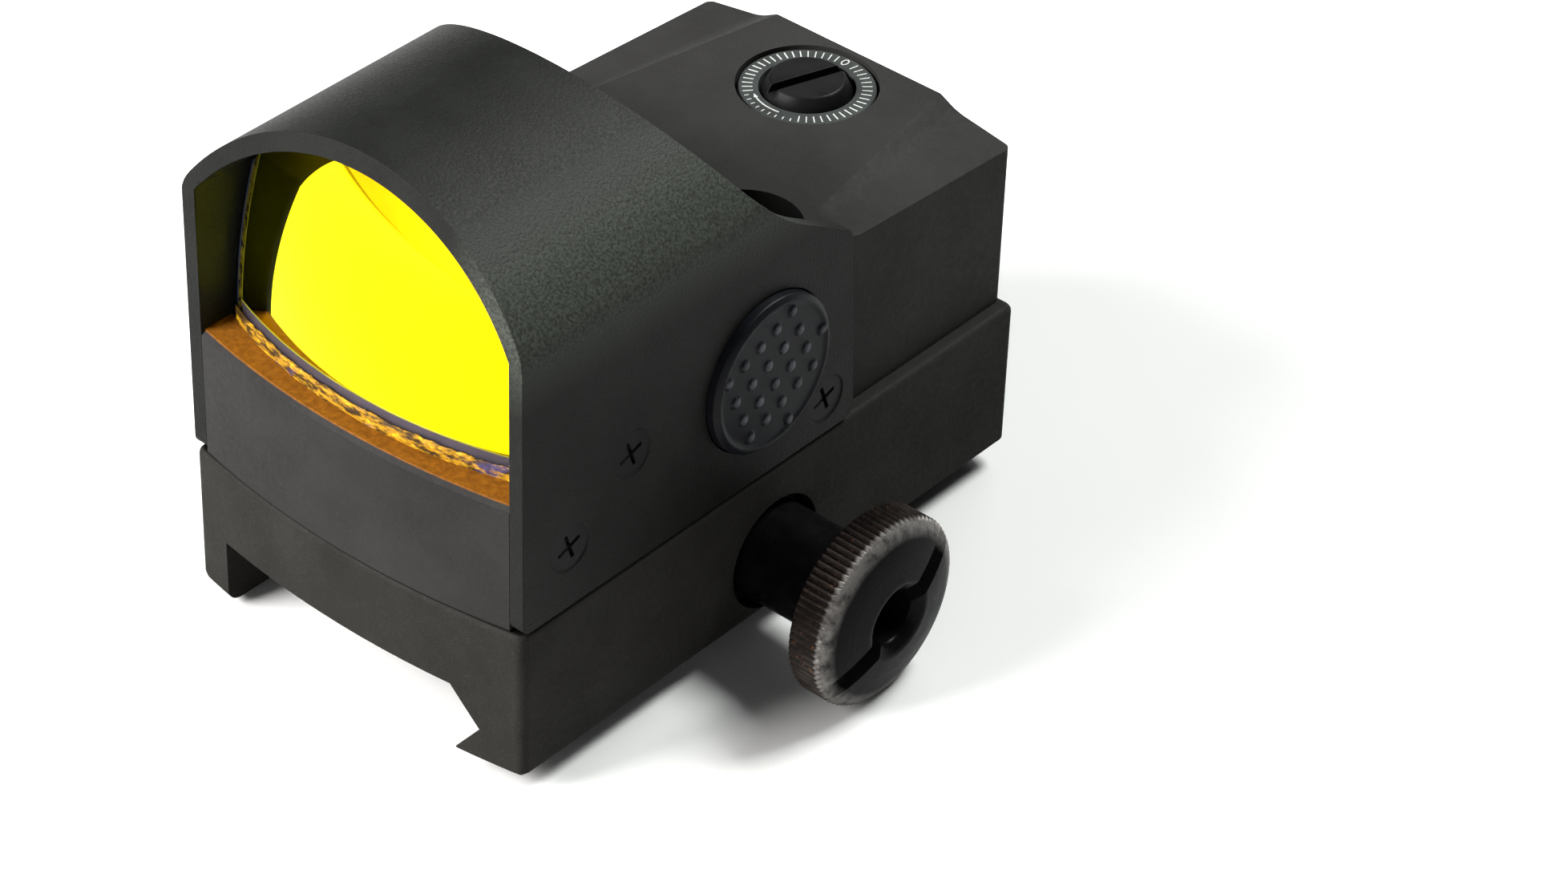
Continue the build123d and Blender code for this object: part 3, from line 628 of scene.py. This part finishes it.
knobTones = dict(
    black=(0.0016, 0.0016, 0.0018), blackLight=(0.0030, 0.0030, 0.0033), knurlDark=(0.007, 0.0055, 0.005),
    knurlBrown=(0.022, 0.014, 0.011), rust=(0.10, 0.036, 0.014), worn=(0.050, 0.044, 0.040),
    bare=(0.21, 0.20, 0.19),
    speck=(0.22e-3, 4.0, 0.7), blotch=(1.4e-3, 3.0, 0.6), rustSpots=(0.35e-3, 3.0, 0.6),
    scuff=(0.8e-3, 4.0, 0.65),
    brownRange=(0.50, 0.66), rustRange=(0.64, 0.72), wornShare=(0.35, 0.65, 0.05, 0.55),
    scuffRange=(0.25, 0.60),
    axis=(0, 0, -0.92e-3), rimRadii=(6.15e-3, 6.35e-3), rimFrom=(20.5e-3, 20.8e-3),
    ridgeRadii=(6.47e-3, 6.69e-3),
    edgeRadii=(5.45e-3, 6.35e-3), edgeFrom=(23.05e-3, 23.3e-3), bareShare=0.75, metalShare=0.8,
    ringsPerMetre=9000.0, ringRadii=(2.6e-3, 4.2e-3), ringDepth=0.022e-3, speckDepth=0.010e-3,
    rough=(0.20, 0.34), dullRadii=(3.4e-3, 6.0e-3), dullMore=0.14, rimMore=0.16, specular=0.035,
)


knobShape = dict(
    axisZ=-0.92, knurls=86, knurlDepth=0.26, steps=8, slotHalf=0.85, slotFloor=23.5, slotTurn=31.0,
    knurlFrom=20.7, knurlPower=1.3, slotReach=9.0, slotSections=5, slotSides=40,
    slotDepth=6.0, slotSquare=0.25,
    sharpAngle=28.0,
    profile=(
        (-17.6, 0.0), (-17.6, 1.40), (-17.1, 1.95), (0.0, 1.95), (12.95, 1.95), (13.0, 2.0), (13.0, 3.35),
        (13.1, 3.45), (16.5, 3.45), (20.1, 3.45), (20.4, 3.62), (20.7, 4.1), (20.8, 4.6), (20.8, 6.2),
        (21.12, 6.70), (21.3, 6.70), (22.0, 6.70), (22.8, 6.70), (23.16, 6.70), (23.28, 6.66), (23.46, 6.50),
        (23.66, 6.22), (23.84, 5.86), (24.04, 5.3), (24.22, 4.7), (24.37, 4.1), (24.48, 3.5), (24.55, 3.05),
        (24.59, 2.85), (24.58, 2.68), (24.50, 2.52), (24.30, 2.20), (24.18, 2.02), (24.05, 1.93), (23.9, 1.9),
        (21.6, 1.9), (21.5, 1.8), (21.5, 0.0),
    ),
)


def clampKnob(s):
    # a profile turned about the screw's axis: at station x the radius is the profile's, but past knurlFrom
    # no more than the knob's radius - knurlDepth * |cos(knurls * turn / 2)| ^ knurlPower
    profile = np.array(s["profile"])
    steps = s["knurls"] * s["steps"]
    turn = np.linspace(0, 2 * np.pi, steps, endpoint=False)
    groove = s["knurlDepth"] * np.abs(np.cos(turn * s["knurls"] / 2)) ** s["knurlPower"]
    limit = np.where(profile[:, 0:1] > s["knurlFrom"], profile[:, 1].max() - groove[None, :], np.inf)
    radius = np.minimum(profile[:, 1:2] + 0 * turn[None, :], limit)
    points = np.stack(
        (
            profile[:, 0:1] + 0 * radius,
            radius * np.cos(turn),
            radius * np.sin(turn) + s["axisZ"],
        ),
        axis=2,
    )
    faces = gridFaces(len(profile), steps, wrapColumns=True)
    piece = makePiece("clampKnob", points * mm, faces, s["sharpAngle"])
    cutOut(piece, slotCutter("knobSlot", s))
    shadeByAngle(piece.data, s["sharpAngle"])
    return piece


def slotCutter(name, s):
    # a bar across the face: a rounded box section (superellipse) carried along the slot
    along = np.linspace(-s["slotReach"], s["slotReach"], s["slotSections"])
    turn = np.linspace(0, 2 * np.pi, s["slotSides"], endpoint=False)
    power = s["slotSquare"]
    half = s["slotDepth"] / 2
    wide = s["slotHalf"] * np.sign(np.cos(turn)) * np.abs(np.cos(turn)) ** power
    deep = half * np.sign(np.sin(turn)) * np.abs(np.sin(turn)) ** power + s["slotFloor"] + half
    angle = math.radians(s["slotTurn"])
    y = along[:, None] * math.cos(angle) - wide[None, :] * math.sin(angle)
    z = along[:, None] * math.sin(angle) + wide[None, :] * math.cos(angle) + s["axisZ"]
    points = np.stack((deep[None, :] + 0 * y, y, z), axis=2)
    faces = gridFaces(len(along), len(turn), wrapColumns=True).tolist()
    faces.append(list(range(len(turn)))[::-1])
    faces.append([(len(along) - 1) * len(turn) + k for k in range(len(turn))])
    return makePiece(name, points * mm, faces)


buttonShape = dict(
    centre=(-1.6, 14.35), radius=5.55, back=13.75, face=14.86, rim=0.15, rimRadius=5.12, rimWidth=0.20,
    dome=0.10, pipRadius=0.42, pipHeight=0.24, pitch=(1.60, 1.92), turn=22.7,
    anchor=(-0.77, 16.05), reach=4.72,
    rings=58, steps=336,
    roll=0.18, rollSteps=(0.75, 0.5, 0.3, 0.15, 0.05, 0.0), pipRows=6, pipPower=1.25, sharpAngle=50.0,
)


def powerButton(s):
    # height = face + dome * (1 - r^2) + a rim bead + the nearest pip's dome;
    # the skirt falls straight to the back
    rollStart = s["radius"] - s["roll"]
    rollRings = s["radius"] - s["roll"] * np.array(s["rollSteps"])
    ringRadius = np.concatenate((np.linspace(0, rollStart, s["rings"]), rollRings))
    turn = np.linspace(0, 2 * np.pi, s["steps"], endpoint=False)
    y = ringRadius[:, None] * np.cos(turn)[None, :] + s["centre"][0]
    z = ringRadius[:, None] * np.sin(turn)[None, :] + s["centre"][1]
    share = ringRadius[:, None] / s["radius"]
    fromRim = (ringRadius[:, None] - s["rimRadius"]) / s["rimWidth"]
    height = s["face"] + s["dome"] * (1 - share**2) + s["rim"] * np.exp(-(fromRim**2))
    height = height + 0 * y
    angle = math.radians(s["turn"])
    first = np.array((math.cos(angle), math.sin(angle))) * s["pitch"][0]
    second = np.array((math.sin(angle), -math.cos(angle))) * s["pitch"][1]
    rows = np.arange(-s["pipRows"], s["pipRows"] + 1)
    i, j = (a.ravel() for a in np.meshgrid(rows, rows))
    pips = np.array(s["anchor"]) + i[:, None] * first + j[:, None] * second
    pips = pips[np.hypot(pips[:, 0] - s["centre"][0], pips[:, 1] - s["centre"][1]) < s["reach"]]
    gap = np.hypot(y[..., None] - pips[:, 0], z[..., None] - pips[:, 1]).min(axis=2) / s["pipRadius"]
    height = height + s["pipHeight"] * np.sqrt(np.clip(1 - gap**2, 0, 1)) ** s["pipPower"]
    # the outer rings roll over the rim
    over = np.clip((ringRadius - rollStart) / s["roll"], 0, 1)[:, None]
    height = height - s["roll"] * (1 - np.sqrt(np.clip(1 - over**2, 0, 1)))
    edge = np.stack((np.full_like(y[-1:], s["back"]), y[-1:], z[-1:]), axis=2)
    centreBack = np.stack(
        (np.full_like(y[-1:], s["back"]), 0 * y[-1:] + s["centre"][0], 0 * z[-1:] + s["centre"][1]), axis=2
    )
    points = np.concatenate((np.stack((height, y, z), axis=2), edge, centreBack))
    faces = gridFaces(len(points), s["steps"], wrapColumns=True)
    return makePiece("powerButton", points * mm, faces, s["sharpAngle"])


scaleShape = dict(
    count=50, inner=3.62, outer=4.32, shortInner=4.02, width=0.08, thick=0.05,
    gap=(91.0, 9.5), short=(-96.0, 32.0),      # middle and half width of each arc, degrees
    zero=dict(angle=91.0, radius=3.97, half=(0.20, 0.33), stroke=0.085, steps=28),
    arrow=dict(radius=3.66, start=-116.0, end=-80.0, stroke=0.10, steps=16, head=0.30,
               headTurn=7.0, tip=0.03),
)


def flatBand(path, width, thick, closed=False):
    # a flat rectangular section carried along a plane path: points and quads
    path = np.asarray(path, float)
    ahead = np.roll(path, -1, axis=0) - np.roll(path, 1, axis=0)
    if not closed:
        ahead[0] = path[1] - path[0]
        ahead[-1] = path[-1] - path[-2]
    ahead = ahead / np.linalg.norm(ahead, axis=1)[:, None]
    side = np.stack((-ahead[:, 1], ahead[:, 0]), axis=1)
    width = np.broadcast_to(np.asarray(width, float), (len(path),))[:, None] / 2
    left, right = path + side * width, path - side * width
    low, high = np.zeros((len(path), 1)), np.full((len(path), 1), thick)
    ring = np.stack(
        (
            np.hstack((left, low)), np.hstack((left, high)),
            np.hstack((right, high)), np.hstack((right, low)),
        ),
        axis=1,
    )
    faces = gridFaces(len(path), 4, wrapRows=closed, wrapColumns=True).tolist()
    if not closed:
        faces += [[3, 2, 1, 0], [4 * (len(path) - 1) + k for k in range(4)]]
    return ring.reshape(-1, 3), faces


def rayAt(degrees):
    return np.array((math.cos(math.radians(degrees)), math.sin(math.radians(degrees))))


def scaleMarks(name, s, place):
    # radial ticks, an oval zero and a curved arrow, as thin bars laid on the ring that place carries
    shapes = []
    for k in range(s["count"]):
        angle = 360.0 * k / s["count"]
        away = abs((angle - s["gap"][0] + 180) % 360 - 180)
        if away < s["gap"][1]:
            continue
        nearArrow = abs((angle - s["short"][0] + 180) % 360 - 180) < s["short"][1]
        inner = s["shortInner"] if nearArrow else s["inner"]
        shapes.append(flatBand(np.outer((inner, s["outer"]), rayAt(angle)), s["width"], s["thick"]))
    zero = s["zero"]
    ray = rayAt(zero["angle"])
    turn = np.linspace(0, 2 * np.pi, zero["steps"], endpoint=False)
    across = np.array((-ray[1], ray[0]))
    loop = ray * zero["radius"] + np.outer(np.cos(turn) * zero["half"][0], across) + np.outer(
        np.sin(turn) * zero["half"][1], ray
    )
    shapes.append(flatBand(loop, zero["stroke"], s["thick"], closed=True))
    arrow = s["arrow"]
    sweep = np.radians(np.linspace(arrow["end"], arrow["start"], arrow["steps"]))
    shaft = arrow["radius"] * np.stack((np.cos(sweep), np.sin(sweep)), axis=1)
    shapes.append(flatBand(shaft, arrow["stroke"], s["thick"]))
    tip = np.radians(arrow["start"] - np.array((0.0, arrow["headTurn"])))
    head = arrow["radius"] * np.stack((np.cos(tip), np.sin(tip)), axis=1)
    shapes.append(flatBand(head, (arrow["head"], arrow["tip"]), s["thick"]))
    points, faces, count = [], [], 0
    for shape, quads in shapes:
        points.append(shape)
        faces += [[corner + count for corner in quad] for quad in quads]
        count += len(shape)
    points = np.concatenate(points)
    points = points @ np.array(place["turn"]).T + np.array(place["origin"])
    return makePiece(name, points * mm, faces)


lensShape = dict(
    centreY=12.6, centreZ=15.3, coating=35.7, thin=0.02, half=12.92, bottom=15.6, arch=16.1, archZ=16.4,
    grid=(61, 49),
)


def coatingShell(s):
    # at (u, v): x = u * half, z between the bottom and the arch, y on a sphere about the lens's centre
    u = np.linspace(-1, 1, s["grid"][0])[:, None]
    v = np.linspace(0, 1, s["grid"][1])[None, :]
    x = u * s["half"] + 0 * v
    top = s["archZ"] + np.sqrt(s["arch"] ** 2 - x**2)
    z = s["bottom"] + v * (top - s["bottom"])
    skins = []
    for radius in (s["coating"], s["coating"] - s["thin"]):
        y = s["centreY"] - np.sqrt(radius**2 - x**2 - (z - s["centreZ"]) ** 2)
        skins.append(np.stack((x, y, z), axis=2))
    front, back = skins
    rows, columns = s["grid"]
    border = np.concatenate(
        (
            np.arange(columns),
            np.arange(1, rows) * columns + columns - 1,
            (rows - 1) * columns + np.arange(columns - 2, -1, -1),
            np.arange(rows - 2, 0, -1) * columns,
        )
    )
    quads = gridFaces(rows, columns)
    count = rows * columns
    nextOne = np.roll(border, -1)
    wall = np.stack((border, nextOne, nextOne + count, border + count), axis=1)
    faces = np.concatenate((quads, quads[:, ::-1] + count, wall))
    points = np.concatenate((front.reshape(-1, 3), back.reshape(-1, 3)))
    return makePiece("lensCoating", points * mm, faces)


beadShape = dict(
    centreY=12.6, centreZ=15.3, radius=36.02, half=12.75, low=15.5, high=16.45, proud=0.26,
    along=601, around=15,
    seed=7, rough=0.30,
    waves=26, waveRange=(1.2, 16.0), tilt=9.0, waveGain=3.0, taper=0.8, crown=0.8, swell=(0.75, 0.5),
    proudLimits=(0.02, 0.6), lift=(0.85, 0.30), sunk=0.08, sharpAngle=60.0,
)


def lensBead(s):
    # a bead along the lens's lower front edge, fullest at its foot: proud * sin(pi * (1 + v) / 2) ^ crown,
    # roughened by summed random waves along x
    draws = np.random.default_rng(s["seed"])
    x = np.linspace(-s["half"], s["half"], s["along"])[:, None]
    v = np.linspace(0, 1, s["around"])[None, :]
    waves = draws.uniform(*s["waveRange"], s["waves"])
    tilt = draws.uniform(-s["tilt"], s["tilt"], s["waves"])
    phase = draws.uniform(0, 2 * np.pi, s["waves"])
    size = 1.0 / np.sqrt(waves)
    summed = (np.sin(x[..., None] * waves + v[..., None] * tilt + phase) * size).sum(axis=2)
    rough = summed / size.sum() * s["waveGain"] * s["rough"]
    ends = np.clip((s["half"] - np.abs(x)) / s["taper"], 0, 1) ** 0.5
    crown = s["proud"] * np.sin(np.pi * (0.5 + 0.5 * v)) ** s["crown"]
    bulge = crown * (s["swell"][0] + s["swell"][1] * rough) * ends
    bulge = np.clip(bulge, *s["proudLimits"]) * np.where(v < 1, 1, 0)
    z = s["low"] + v * (s["high"] - s["low"]) * (s["lift"][0] + s["lift"][1] * rough[:, :1])
    y = s["centreY"] - np.sqrt(s["radius"] ** 2 - x**2 - (z - s["centreZ"]) ** 2)
    out = np.stack((x + 0 * v, y - bulge, z), axis=2)
    inner = np.stack((x + 0 * v, y + s["sunk"], z), axis=2)[:, ::-1]
    section = np.concatenate((out, inner), axis=1)
    count = section.shape[1]
    faces = gridFaces(s["along"], count, wrapColumns=True).tolist()
    faces.append(list(range(count))[::-1])
    faces.append([(s["along"] - 1) * count + k for k in range(count)])
    return makePiece("lensBead", section * mm, faces, s["sharpAngle"])


# half, blot, grain and grainDepth are in metres, the places and the drop in millimetres
floorSettings = dict(
    half=1.6, leftX=-15.3, leftZ=-5.0, rightX=23.65, rightZ=-7.62, drop=0.01,
    tone=(0.52, 0.52, 0.52), fade=0.99,
    blot=(0.05, 3.0, 0.5), grain=(1.0e-3, 2.0, 0.5), grainDepth=0.01e-3, rough=0.9,
)


def makeFloor(s):
    # a flat sheet just under the two lines that the sight stands on, the left leg and the knob
    slope = (s["rightZ"] - s["leftZ"]) / (s["rightX"] - s["leftX"])
    side = np.array((-s["half"], s["half"]))
    x, y = (a.ravel() for a in np.meshgrid(side, side))
    z = (s["leftZ"] - s["drop"]) * mm + slope * (x - s["leftX"] * mm)
    mesh = bpy.data.meshes.new("floor")
    mesh.from_pydata(np.stack((x, y, z), axis=1), [], [[0, 1, 3, 2]])
    floor = bpy.data.objects.new("floor", mesh)
    bpy.context.scene.collection.objects.link(floor)
    m = Mixer("floorSheet")
    tone = m.blend(m.mid(m.noise(*s["blot"])), s["tone"], tuple(c * s["fade"] for c in s["tone"]))
    paint(floor, m.finish(tone, s["rough"], m.bump(m.noise(*s["grain"]), s["grainDepth"])))


makeCamera(cameraSettings)
makeLights(lightSettings, worldSettings)
makeFloor(floorSettings)
makeCard(cardSettings)
print("camera, lights and floor made")

finishes = {name: grainCoat(name, s, coatNoise) for name, s in coatSettings.items()}
finishes.update({name: metalFinish(name, s, metalShared) for name, s in metalSettings.items()})
finishes.update({name: mouldedFinish(name, s, mouldedShared) for name, s in mouldedSettings.items()})
finishes.update({name: clearFinish(name, s, clearShared) for name, s in clearSettings.items()})
finishes["boardLaminate"] = boardLaminate(boardSettings)
finishes["amberCoating"] = amberCoating(coatingSettings)
finishes["beadResin"] = beadResin(beadTones)
finishes["knobFinish"] = knobFinish(knobTones)
print("finishes made:", len(finishes))

# what each node of the frame is finished with
nodeFinish = dict(
    mount_base="baseCoat", clamp_jaw="jawCoat", jaw_guide_pins="groundSteel", body_housing="bodyCoat",
    body_gasket="sealRubber", hood="hoodCoat", hood_screws="blackScrew", lens="lensGlass",
    lens_bond="clearBond",
    body_screws="blackScrew", locating_pins="groundSteel", battery="cellSteel",
    battery_insulator="insulatingFilm",
    battery_contact_top="contactBrass", battery_contact_side="contactBrass", circuit_board="boardLaminate",
    switch_body="switchPlastic", switch_plunger="switchPlastic", elevation_screw="blackScrew",
    windage_screw="blackScrew", elevation_dial="dialEnamel", windage_dial="dialEnamel",
    elevation_seal="sealRubber", windage_seal="sealRubber", elevation_clip="springSteel",
    windage_clip="springSteel", elevation_spring="springSteel", elevation_slide="milledAluminium",
    led_carriage="milledAluminium", led_emitter="lampEpoxy", windage_nut="milledBrass",
    emitter_window="windowGlass", power_button="buttonRubber", clamp_screw="knobFinish",
)
for node, finish in nodeFinish.items():
    paint(nodes[node], finishes[finish])

# pieces with broken edges stand for their nodes: node, piece, bevel in millimetres, body, record slot
softened = (
    ("mount_base", "baseShell", 0.16, "sight", "base_anodised"),
    ("body_housing", "bodyShell", 0.14, "sight", "body_anodised"),
    ("hood", "hoodShell", 0.14, "sight", "hood_coating"),
    ("clamp_jaw", "jawBlock", 0.12, "clamp_jaw", "jaw_anodised"),
    ("elevation_screw", "elevationHead", 0.05, "elevation_adjuster", "adjuster_black"),
    ("windage_screw", "windageHead", 0.05, "windage_adjuster", "adjuster_black"),
    ("hood_screws", "hoodScrewSet", 0.035, "sight", "black_screw_steel"),
)
for node, name, width, body, slot in softened:
    piece = softCopy(node, name, width * mm, softSettings)
    paint(piece, finishes[nodeFinish[node]])
    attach(piece, body)
print("softened pieces made:", len(softened))

knob = clampKnob(knobShape)
paint(knob, finishes["knobFinish"])
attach(knob, "clamp_screw")
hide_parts("clamp_screw")

button = powerButton(buttonShape)
paint(button, finishes["buttonRubber"])
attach(button, "power_button")
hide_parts("power_button")
print("knob and button made")

dialPlaces = dict(
    elevationScale=dict(origin=(0, 18.8, 19.43), turn=((1, 0, 0), (0, 1, 0), (0, 0, 1))),
    windageScale=dict(origin=(-12.92, 13.0, 12.0), turn=((0, 0, -1), (-1, 0, 0), (0, 1, 0))),
)
for name, place in dialPlaces.items():
    marks = scaleMarks(name, scaleShape, place)
    paint(marks, finishes["scaleWhite"])
    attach(marks, "sight")

coating = coatingShell(lensShape)
paint(coating, finishes["amberCoating"])
bead = lensBead(beadShape)
paint(bead, finishes["beadResin"])
for piece, slot in ((coating, "coated_lens"), (bead, "optical_adhesive")):
    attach(piece, "sight")
print("scales and lens pieces made")
